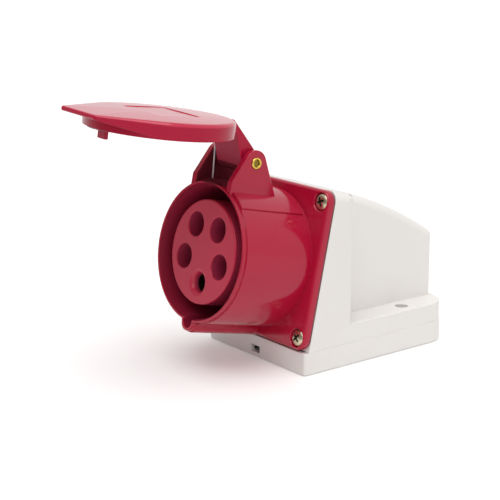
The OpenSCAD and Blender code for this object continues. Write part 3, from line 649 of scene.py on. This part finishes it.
insert = {"radius": 25.4, "face": 39.1, "back": -8.0, "edge": 0.9, "lip": 26.1, "lipFrom": -6.0, "lipTo": -4.0,
          "pitch": 15.0, "hole": 6.1, "holeDepth": 22.0, "liveBore": 4.7, "earthBore": 5.3, "earthNeck": 4.3,
          "dish": 3.4, "dishWider": 0.7, "holeEdge": 0.45, "angles": (270, 342, 54, 126, 198)}


def addInsert():
    # the first hole, for earth, is dished and the others are straight
    i = insert
    r, f, e, h = i["radius"], i["face"], i["holeEdge"], i["hole"]
    lip, low, high = i["lip"], i["lipFrom"], i["lipTo"]
    profile = [(r, i["back"]), (r, low), (lip, low), (lip, high), (r, high)]
    profile += [(r - i["edge"] + x, f - i["edge"] + y) for x, y in arc(0, 0, i["edge"], 0, 90, 5)]
    obj = lathe("insertBody", profile, 112)
    for k, angle in enumerate(i["angles"]):
        spot = Matrix.Rotation(math.radians(angle), 4, "Z") @ Matrix.Translation((i["pitch"], 0, 0))
        if k == 0:
            b, d, n = i["earthBore"], i["dish"], i["earthNeck"]
            cut = [(b, i["back"] - 1), (b, f - d - 0.4), (n, f - d - 0.4), (n, f - d)]
            rise = [math.pi / 16 * j for j in range(1, 9)]
            cut += [(n + (h + i["dishWider"] - n) * (1 - math.cos(t)), f - d + d * math.sin(t)) for t in rise]
        else:
            b, d = i["liveBore"], i["holeDepth"]
            cut = [(b, i["back"] - 1), (b, f - d), (h, f - d)]
            rise = [math.pi / 8 * j for j in range(5)]
            cut += [(h + e - e * math.cos(t), f - e + e * math.sin(t)) for t in rise]
        cut.append((cut[-1][0], f + 3))
        combine(obj, lathe("holeCutter", cut, 56, spot), "DIFFERENCE")
    return polish(clean(obj, 0.3))


def inShadedHole(p):
    # painted shade: the holes' walls, and the insert's own side below its edge, get a darker red
    onSide = math.hypot(p.x, p.y) > insert["radius"] - 0.05
    return p.z < insert["face"] - (1.2 if onSide else 2.2)


insertPiece = paintFaces(addInsert(), inShadedHole)
finishPiece(insertPiece, "contactInsert", onFace, "red_shell", "socket", ["contact_insert"], "redSatin",
            "redHoleShade")

# lid: teardrop plate with a skirt, an arm round the pin and a catch

lid = {"radius": 35.1, "edge": 49.4, "crown": 1.0, "middle": -2.5, "lip": 41.5, "under": 47.4, "skirt": 2.2,
       "rebate": 1.1, "rim": 2.0, "lipEdge": 0.4, "tabReach": 43.4, "tabHalf": 14.5, "tabCorner": 1.3,
       "tabNose": 1.9, "tabRim": 0.8, "panel": (31.7, 22.5), "panelAt": 0.5, "panelDepth": 0.38,
       "panelCorner": 2.0, "catch": (3.1, -30.4, 2.0, 4.5), "catchEdge": 0.3}
arm = {"top": (33.7, 49.1), "low": (36.2, 42.3), "from": 35.2, "root": 32.92, "knuckle": 5.4, "web": 2.2,
       "left": -8.3, "right": 11.9, "shortLeft": -11.9, "shortRun": 4.2, "edge": 0.35, "play": 0.5}


def lidOutline():
    # disc, then straight sides to the lifting tab with rounded corners
    r, c = lid["radius"], Vector((lid["tabHalf"], -lid["tabReach"]))
    touch = tangent((0, 0), r, c, 1)
    t0 = math.degrees(math.atan2(touch.y, touch.x))
    points = arc(0, 0, r, t0, 180 - t0, 120)
    q = lid["tabCorner"]
    away = Vector((c.y - touch.y, touch.x - c.x)).normalized()
    # centre of the corner's arc: q inside both the slanting side and the tab's end
    inward = -away if away.dot(c) > 0 else away
    y = -lid["tabReach"] + q
    along = (y - (touch + inward * q).y) / (c - touch).y
    centre = touch + inward * q + (c - touch) * along
    side = math.degrees(math.atan2(-inward.y, -inward.x))
    steps = 12
    run = [touch + (c - touch) * k / steps for k in range(1, steps)]
    right = [p for p in run if p.y > centre.y + 0.3]
    corner = arc(centre.x, centre.y, q, side, -90, 6)
    flat = [(centre.x * (1 - 2 * k / 8), -lid["tabReach"]) for k in range(1, 8)]
    points += [(-p.x, p.y) for p in right]
    points += [(-x, y) for x, y in corner]
    points += [(-x, y) for x, y in flat]
    points += list(reversed(corner)) + [(p.x, p.y) for p in reversed(right)]
    return points


def tabShare(y):
    # 0 on the disc, 1 at the tab's end
    start = tangent((0, 0), lid["radius"], (lid["tabHalf"], -lid["tabReach"]), 1).y
    return min(max((start - y) / (lid["tabReach"] + 1 + start), 0), 1)


def lipHeight(y):
    # lower edge: level round the disc, rising to the tab's nose
    return lid["lip"] + tabShare(y) * (lid["edge"] - lid["tabNose"] - lid["lip"])


def rimAt(y):
    # upper edge: well rounded on the disc, sharper on the tab
    return lid["rim"] + tabShare(y) * (lid["tabRim"] - lid["rim"])


def addLidPlate():
    outline = lidOutline()
    s, top, middle = lid["lipEdge"], lid["edge"], lid["middle"]
    inner, rebate = inset(outline, lid["skirt"]), inset(outline, lid["skirt"] - lid["rebate"])
    rimLine = [(x, y, u - x, v - y, rimAt(y)) for (x, y), (u, v) in zip(outline, inset(outline, 1.0))]
    edgeLine = [(x + u * e, y + v * e) for x, y, u, v, e in rimLine]
    rings = [[(x, y, max(lid["under"], lipHeight(y) + 0.2)) for x, y in inner]]
    rings.append([(x, y, min(lipHeight(y) + 1.7, lid["under"] - 0.1)) for x, y in inner])
    rings.append([(x, y, min(lipHeight(y) + 1.5, lid["under"] - 0.2)) for x, y in rebate])
    rings.append([(x, y, lipHeight(y)) for x, y in inset(outline, lid["skirt"] - lid["rebate"] - 0.1)])
    for dx, dy in reversed(arc(0, 0, s, 0, 90, 4)):
        rings.append([(x, y, lipHeight(y) + s - dy) for x, y in inset(outline, s - dx)])
    for dx, dy in arc(0, 0, 1, 0, 90, 7):
        inn, low = 1 - dx, 1 - dy
        rings.append([(x + u * e * inn, y + v * e * inn, top - e * low) for x, y, u, v, e in rimLine])
    for share in (0.96, 0.88, 0.76, 0.6, 0.42, 0.22):
        high = top + lid["crown"] * (1 - share * share)
        rings.append([(x * share, middle + (y - middle) * share, high) for x, y in edgeLine])
    return fromRings("lidPlate", rings)


def addSkirtArc():
    # the round skirt goes on under the tab
    e, thinner = lid["lipEdge"], 0.04
    out, inn = lid["radius"] - thinner, lid["radius"] - lid["skirt"] + thinner
    low, high, cut = lid["lip"] + 0.03, lid["under"] + 0.8, inn + lid["rebate"]
    section = [(cut, low), (out - e, low), (out - e * 0.3, low + e * 0.3), (out, low + e), (out, high)]
    section += [(inn, high), (inn, low + 1.7), (cut, low + 1.5)]
    touch = tangent((0, 0), out, (lid["tabHalf"], -lid["tabReach"]), 1)
    start = math.degrees(math.atan2(touch.y, touch.x)) + 3
    turns = [math.radians(start + (-180 - 2 * start) * k / 60) for k in range(61)]
    return fromRings("skirtArc", turnSection(section, turns))


def addLidArm():
    c, r = Vector((pin["up"], pin["out"])), arm["knuckle"]
    top, low = Vector(arm["top"]), Vector(arm["low"])
    outer, inner = tangent(c, r, top, -1), tangent(c, r, low, 1)
    under = (outer - c) / r * arm["web"]
    clear = outer + (top - outer).normalized() * arm["shortRun"]
    t0, t1 = (math.degrees(math.atan2(p.y - c.y, p.x - c.x)) for p in (outer, inner))
    t1 -= 360 if t1 > t0 else 0
    side = arc(c.x, c.y, r, t0, t1, 30)
    side += [tuple(low), (arm["root"], low.y), (arm["root"], lid["under"] + 0.6), tuple(top)]
    solid = across("armSolid", side, arm["left"], arm["right"], arm["edge"])
    short = [tuple(top), tuple(clear), tuple(clear - under), tuple(top - under)]
    web = across("shortWeb", short, arm["shortLeft"], arm["left"] + 1, arm["edge"])
    return [combine(solid, addPinBore(arm["play"]), "DIFFERENCE"), web]


def addCatch():
    half, y, thick, reach = lid["catch"]
    low, high = lid["lip"] - reach, lid["edge"]
    outline = [(y, low), (y + thick, low), (y + thick, high), (y, high)]
    return across("catch", outline, -half, half, lid["catchEdge"])


def addPanelCutter():
    w, h = lid["panel"]
    outline = [(x, y + lid["panelAt"]) for x, y in roundedPlate(w, h, lid["panelCorner"], 5)]
    floor = lid["edge"] + 0.85 * lid["crown"] - lid["panelDepth"]
    rings = [at(inset(outline, 0.15), floor), at(outline, floor + 0.2), at(outline, lid["edge"] + 4)]
    return fromRings("panelCutter", rings)


lidPiece = addLidPlate()
combine(lidPiece, addPanelCutter(), "DIFFERENCE")
for solid in [addSkirtArc(), addCatch()] + addLidArm():
    combine(lidPiece, solid)


def lidLitAndShadedFaces(p):
    # 1 is the top, painted lighter where light falls from above; 2 the arm's front and 3 the knuckle, painted
    # darker as shade under the lid
    onDisc = p.y < arm["from"]
    if onDisc and p.z > lid["edge"] - 0.75 * rimAt(p.y):
        return 1
    if onDisc or abs(p.x) > arm["right"] - 0.1:
        return 0
    c, low, r = Vector((pin["up"], pin["out"])), Vector(arm["low"]), arm["knuckle"]
    if (p.yz - c).length < r + 0.05:
        return 3
    normal = (tangent(c, r, low, 1) - c) / r
    return 2 * (abs((p.yz - low).dot(normal)) < 0.06)


paintFaces(polish(clean(lidPiece, 0.2)), lidLitAndShadedFaces)
finishPiece(lidPiece, "lidShell", onLid, "red_shell", "lid", ["lid"], "redSkirtDimmed", "redLidLitTop", "redShade",
            "redBayShade")

seal = {"inside": 31.0, "outside": 32.85, "low": 41.6, "high": 47.4, "edge": 0.5}


def addSeal():
    inn, out, low, high, e = (seal[k] for k in ("inside", "outside", "low", "high", "edge"))
    section = [(inn, high), (inn, low + e), (inn + e, low), (out - e, low), (out, low + e), (out, high)]
    return polish(turnedRing("sealRing", section, 112))


finishPiece(addSeal(), "lidSeal", lidMatrix(0.0, 0.0), "black_rubber", "lid", ["lid_seal"], "blackRubber")

# hinge pin with rolled ends

pinSize = {"half": 16.0, "head": 2.85, "rim": 0.58, "dimple": 1.62, "sink": 0.5}


def addPin():
    h, head, q, dip, sink = (pinSize[k] for k in ("half", "head", "rim", "dimple", "sink"))
    end = [(pin["radius"], h + 0.05), (head - 0.2, h + 0.05)]
    end += [(head - q + x, h + 0.25 + z) for x, z in arc(0, 0, q, 0, 180, 8)]
    end += [(dip, h - 0.1), (dip - 0.15, h + 0.25 - sink), (0.5, h + 0.2 - sink)]
    profile = [(r, -z) for r, z in reversed(end)] + end
    return polish(lathe("pinTurned", profile, 40, alongPin))


def inDimple(p):
    out = math.hypot(p.y - pin["up"], p.z - pin["out"])
    return abs(p.x) > pinSize["half"] - 0.5 and out < pinSize["dimple"] + 0.02


pinPiece = paintFaces(addPin(), inDimple)
finishPiece(pinPiece, "hingePin", onFace, "brass", "socket", ["hinge_pin"], "brass", "brassDull")

# node trees for what repeats or follows a path


def newTree(name, inputs):
    tree = bpy.data.node_groups.new(name, "GeometryNodeTree")
    tree.interface.new_socket("Geometry", in_out="INPUT", socket_type="NodeSocketGeometry")
    keys = {}
    for label, kind in inputs:
        socket = tree.interface.new_socket(label, in_out="INPUT", socket_type="NodeSocket" + kind)
        keys[label] = socket.identifier
    tree.interface.new_socket("Geometry", in_out="OUTPUT", socket_type="NodeSocketGeometry")
    return tree, keys, tree.nodes.new("NodeGroupInput"), tree.nodes.new("NodeGroupOutput")


def closeTree(tree, gin, gout, geometry, labels):
    # real geometry in the finishes that the labels name; the second one goes on the faces marked as slot
    real = tree.nodes.new("GeometryNodeRealizeInstances")
    tree.links.new(geometry, real.inputs[0])
    last = real.outputs[0]
    for k, label in enumerate(labels):
        paint = tree.nodes.new("GeometryNodeSetMaterial")
        tree.links.new(last, paint.inputs["Geometry"])
        tree.links.new(gin.outputs[label], paint.inputs["Material"])
        if k:
            tree.links.new(namedAttribute(tree, "slot", "BOOLEAN"), paint.inputs["Selection"])
        last = paint.outputs[0]
    tree.links.new(last, gout.inputs[0])


def namedAttribute(tree, name, kind):
    node = tree.nodes.new("GeometryNodeInputNamedAttribute")
    node.data_type = kind
    node.inputs["Name"].default_value = name
    return [s for s in node.outputs if s.enabled][0]


def makeRepeat():
    # one part set on every point, turned as the point says
    inputs = [("Part", "Object"), ("Finish", "Material"), ("Slot finish", "Material")]
    tree, keys, gin, gout = newTree("repeatPart", inputs)
    info = tree.nodes.new("GeometryNodeObjectInfo")
    tree.links.new(gin.outputs["Part"], info.inputs["Object"])
    rotate = tree.nodes.new("FunctionNodeEulerToRotation")
    tree.links.new(namedAttribute(tree, "turn", "FLOAT_VECTOR"), rotate.inputs[0])
    put = tree.nodes.new("GeometryNodeInstanceOnPoints")
    tree.links.new(gin.outputs["Geometry"], put.inputs["Points"])
    tree.links.new(info.outputs["Geometry"], put.inputs["Instance"])
    tree.links.new(rotate.outputs[0], put.inputs["Rotation"])
    closeTree(tree, gin, gout, put.outputs[0], ["Finish", "Slot finish"])
    return tree, keys


def makeWire():
    # round wire along a path of edges
    tree, keys, gin, gout = newTree("sweepWire", [("Radius", "Float"), ("Finish", "Material")])
    path = tree.nodes.new("GeometryNodeMeshToCurve")
    ring = tree.nodes.new("GeometryNodeCurvePrimitiveCircle")
    ring.inputs["Resolution"].default_value = 12
    sweep = tree.nodes.new("GeometryNodeCurveToMesh")
    sweep.inputs["Fill Caps"].default_value = True
    tree.links.new(gin.outputs["Geometry"], path.inputs[0])
    tree.links.new(gin.outputs["Radius"], ring.inputs["Radius"])
    tree.links.new(path.outputs[0], sweep.inputs["Curve"])
    tree.links.new(ring.outputs[0], sweep.inputs["Profile Curve"])
    closeTree(tree, gin, gout, sweep.outputs[0], ["Finish"])
    return tree, keys


def runTree(name, mesh, tree, keys, **values):
    obj = link(name, mesh)
    mod = obj.modifiers.new("tree", "NODES")
    mod.node_group = tree
    for label, value in values.items():
        mod[keys[label.replace("_", " ")]] = value
    return settle(obj)


repeatTree, repeatKeys = makeRepeat()
wireTree, wireKeys = makeWire()


flangeScrew = {"head": 4.1, "height": 2.0, "edge": 0.35, "shank": 2.0, "length": 11.0, "slot": 1.25,
               "reach": 5.6, "deep": 1.5}
baseScrew = {"head": 3.1, "height": 2.0, "edge": 0.35, "shank": 1.7, "length": 13.5, "slot": 0.9,
             "reach": 3.8, "deep": 1.2, "sunk": 0.2}
twists = {(1, 1): 25, (1, -1): 48, (-1, 1): 70, (-1, -1): 10}


def inSlot(p, s):
    # within the cross and below the head's crown
    out, e = math.hypot(p.x, p.y), s["edge"]
    crown = e + (s["height"] - e) * math.sqrt(max(1 - (out / s["head"]) ** 2, 0))
    return min(abs(p.x), abs(p.y)) < s["slot"] / 2 and out < s["reach"] / 2 and 0.1 < p.z < crown - 0.12


def addScrew(name, s):
    # pan head with a cross recess on a plain shank, standing on the head's underside
    r, h, e, shank, low = s["head"], s["height"], s["edge"], s["shank"], -s["length"]
    profile = [(shank * 0.6, low), (shank, low + 1), (shank, 0), (r, 0)]
    profile += [(r * math.cos(t), e + (h - e) * math.sin(t)) for t in (math.pi / 2 * k / 7 for k in range(7))]
    obj = lathe(name, profile + [(0.3, h)], 40)
    w, run = s["slot"] / 2, s["reach"] / 2
    wide = [(-run, -w), (run, -w), (run, w), (-run, w)]
    deep = [(x * 0.45, y * 0.6) for x, y in wide]
    for turn in (0, 90):
        cutter = fromRings("slotCutter", [at(deep, h - s["deep"]), at(wide, h), at(wide, h + 1)],
                           Matrix.Rotation(math.radians(turn), 4, "Z"))
        combine(obj, cutter, "DIFFERENCE")
    polish(clean(obj), 30)
    marks = obj.data.attributes.new("slot", "BOOLEAN", "FACE")
    marks.data.foreach_set("value", [inSlot(p.center, s) for p in obj.data.polygons])
    return obj


def setScrews(name, part, places, node):
    mesh = bpy.data.meshes.new(name)
    mesh.from_pydata([tuple(p.translation * mm) for p in places], [], [])
    turns = mesh.attributes.new("turn", "FLOAT_VECTOR", "POINT")
    turns.data.foreach_set("vector", [a for p in places for a in p.to_euler()])
    obj = runTree(name, mesh, repeatTree, repeatKeys, Part=seat(part, upright), Finish=finishes["zincYellow"],
                  Slot_finish=finishes["slotShadeDark"])
    drop(part)
    order = [m is finishes["slotShadeDark"] for m in obj.data.materials]
    obj.data.polygons.foreach_set("material_index", [int(order[p.material_index]) for p in obj.data.polygons])
    # the points were in metres already
    finishPiece(obj, name, Matrix.Scale(1 / mm, 4), "zinc_steel", "socket", [node], "zincYellow", "slotShadeDark")


places = [onFace @ Matrix.Translation((sx * flange["screwAt"], sy * flange["screwAt"], -flange["sink"]))
          @ Matrix.Rotation(math.radians(twist), 4, "Z") for (sx, sy), twist in twists.items()]
setScrews("flangeScrews", addScrew("flangeScrewPart", flangeScrew), places, "flange_screws")


def baseScrewPlaces():
    # the four corners of the solids' own screws, head downwards
    corners = [v.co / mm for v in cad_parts["base_screws"].data.vertices]
    spots = []
    for sx in (-1, 1):
        for sy in (-1, 1):
            own = [c for c in corners if c.x * sx > 0 and c.y * sy > 0]
            middle = [(min(c[k] for c in own) + max(c[k] for c in own)) / 2 for k in (0, 1)]
            high = min(c.z for c in own) + baseScrew["height"] + baseScrew["sunk"]
            turn = Matrix.Rotation(math.pi, 4, "X") @ Matrix.Rotation(0.4 * len(spots), 4, "Z")
            spots.append(Matrix.Translation((middle[0], middle[1], high)) @ turn)
    return spots


setScrews("baseScrews", addScrew("baseScrewPart", baseScrew), baseScrewPlaces(), "base_screws")

# lid spring

spring = {"wire": 0.38, "coil": 2.45, "turn": 420, "steps": 42, "from": -8.9, "to": -11.6, "top": 53.3,
          "reach": 33.6, "foot": (34.0, 31.6), "blendEdge": 0.4}


def addSpring():
    # coil round the pin, up in front of it to the lid, and back down to the collar in one straight leg
    c, s = Vector((pin["up"], pin["out"])), spring
    path = []
    for k in range(s["steps"] + 1):
        share = k / s["steps"]
        t = math.radians(s["turn"] * (share - 1))
        x = s["from"] + (s["to"] - s["from"]) * share
        path.append((x, c.x + s["coil"] * math.sin(t), c.y + s["coil"] * math.cos(t)))
    bend = (s["reach"] - c.y - s["coil"]) / 2
    leg = arc(s["top"] - bend, s["reach"] - bend, bend, -90, 90, 10) + [s["foot"]]
    path += [(s["to"], v, a) for v, a in leg]
    mesh = bpy.data.meshes.new("springPath")
    points = [tuple(onFace @ Vector(p) * mm) for p in path]
    mesh.from_pydata(points, [(k, k + 1) for k in range(len(path) - 1)], [])
    return runTree("lidSpring", mesh, wireTree, wireKeys, Radius=s["wire"] * mm,
                   Finish=finishes["springWire"])


springPiece = addSpring()
springPiece.name = springPiece.data.name = "lidSpring"
springPiece.data.materials.clear()
springPiece.data.materials.append(finishes["springWire"])
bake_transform(springPiece)
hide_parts("lid_spring")
print("lidSpring: %d faces" % len(springPiece.data.polygons))

# solids that stay as they are, in their own finishes
contacts = ["contact_earth", "contact_neutral", "contact_line_1", "contact_line_2", "contact_line_3"]
# the contacts' nearly black brass is painted shade
carried = {"gasketFoam": ["flange_gasket"], "redSatin": ["insert_ring"], "greyBlock": ["terminal_block"],
           "brassShadeDark": contacts, "brightSteel": ["insert_screws", "contact_springs", "terminal_screws"]}
for finish, nodes in carried.items():
    for node in nodes:
        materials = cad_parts[node].data.materials
        materials.clear()
        materials.append(finishes[finish])
print("carried-over solids: %d" % sum(len(nodes) for nodes in carried.values()))

# studio

studio = {"bright": (0.35, 0.75, 0.55), "diffuse": (-0.65, 0.25, 0.29, 0.70), "glossy": (-0.5, 0.30, 0.2, 1.0),
          "floorColour": (0.90, 0.89, 0.885), "floorLift": 0.16, "floorHalf": 4.0, "floorDrop": 0.0003,
          "lamps": (("topLight", (0.22, -0.25, 0.95), 50, 1.5), ("sideLight", (0.85, -0.30, 0.45), 45, 0.18))}


def seenDirectly(tree):
    path = tree.nodes.new("ShaderNodeLightPath")
    seen = mathNode(tree, "MAXIMUM", path.outputs["Is Camera Ray"], path.outputs["Is Transmission Ray"])
    return mathNode(tree, "MAXIMUM", seen, path.outputs["Is Glossy Ray"])


def addWorld():
    world = bpy.data.worlds.new("studioWorld")
    scene.world = world
    world.use_nodes = True
    tree = world.node_tree
    tree.nodes.clear()
    out = tree.nodes.new("ShaderNodeOutputWorld")
    path = tree.nodes.new("ShaderNodeLightPath")
    # the room is dimmer towards the left in front of the object
    along = tree.nodes.new("ShaderNodeVectorMath")
    along.operation = "DOT_PRODUCT"
    along.inputs[1].default_value = Vector(studio["bright"]).normalized()
    tree.links.new(tree.nodes.new("ShaderNodeTexCoord").outputs["Generated"], along.inputs[0])
    levels = []
    for values in (studio["diffuse"], studio["glossy"]):
        ramp = tree.nodes.new("ShaderNodeMapRange")
        ramp.interpolation_type = "SMOOTHSTEP"
        for label, value in zip(("From Min", "From Max", "To Min", "To Max"), values):
            ramp.inputs[label].default_value = value
        tree.links.new(along.outputs["Value"], ramp.inputs["Value"])
        levels.append(ramp.outputs[0])
    level = mixNode(tree, path.outputs["Is Glossy Ray"], levels[0], levels[1])
    level = mixNode(tree, path.outputs["Is Camera Ray"], level, 1.0)
    level = mixNode(tree, path.outputs["Is Transmission Ray"], level, 1.0)
    sky = tree.nodes.new("ShaderNodeBackground")
    sky.inputs["Color"].default_value = (1, 1, 1, 1)
    tree.links.new(level, sky.inputs["Strength"])
    tree.links.new(sky.outputs[0], out.inputs["Surface"])


def addFloor():
    bm = bmesh.new()
    bmesh.ops.create_grid(bm, x_segments=1, y_segments=1, size=studio["floorHalf"])
    mesh = bpy.data.meshes.new("studioFloor")
    bm.to_mesh(mesh)
    bm.free()
    obj = link("studioFloor", mesh)
    obj.location.z = -studio["floorDrop"]
    mat = bpy.data.materials.new("paleFloor")
    mat.use_nodes = True
    tree = mat.node_tree
    tree.nodes.clear()
    out = tree.nodes.new("ShaderNodeOutputMaterial")
    diffuse = tree.nodes.new("ShaderNodeBsdfDiffuse")
    diffuse.inputs["Color"].default_value = rgba(studio["floorColour"])
    glow = tree.nodes.new("ShaderNodeEmission")
    glow.inputs["Color"].default_value = (1, 1, 1, 1)
    lift = mathNode(tree, "MULTIPLY", seenDirectly(tree), studio["floorLift"])
    tree.links.new(lift, glow.inputs["Strength"])
    both = tree.nodes.new("ShaderNodeAddShader")
    tree.links.new(diffuse.outputs[0], both.inputs[0])
    tree.links.new(glow.outputs[0], both.inputs[1])
    tree.links.new(both.outputs[0], out.inputs["Surface"])
    mesh.materials.append(mat)


def addSoftLight(name, towards, spread, strength):
    # even light from a wide patch of sky
    data = bpy.data.lights.new(name, "SUN")
    data.angle, data.energy = math.radians(spread), strength
    obj = bpy.data.objects.new(name, data)
    scene.collection.objects.link(obj)
    obj.rotation_euler = Vector(towards).to_track_quat("Z", "Y").to_euler()


addWorld()
addFloor()
for lamp in studio["lamps"]:
    addSoftLight(*lamp)
print("studio lit")
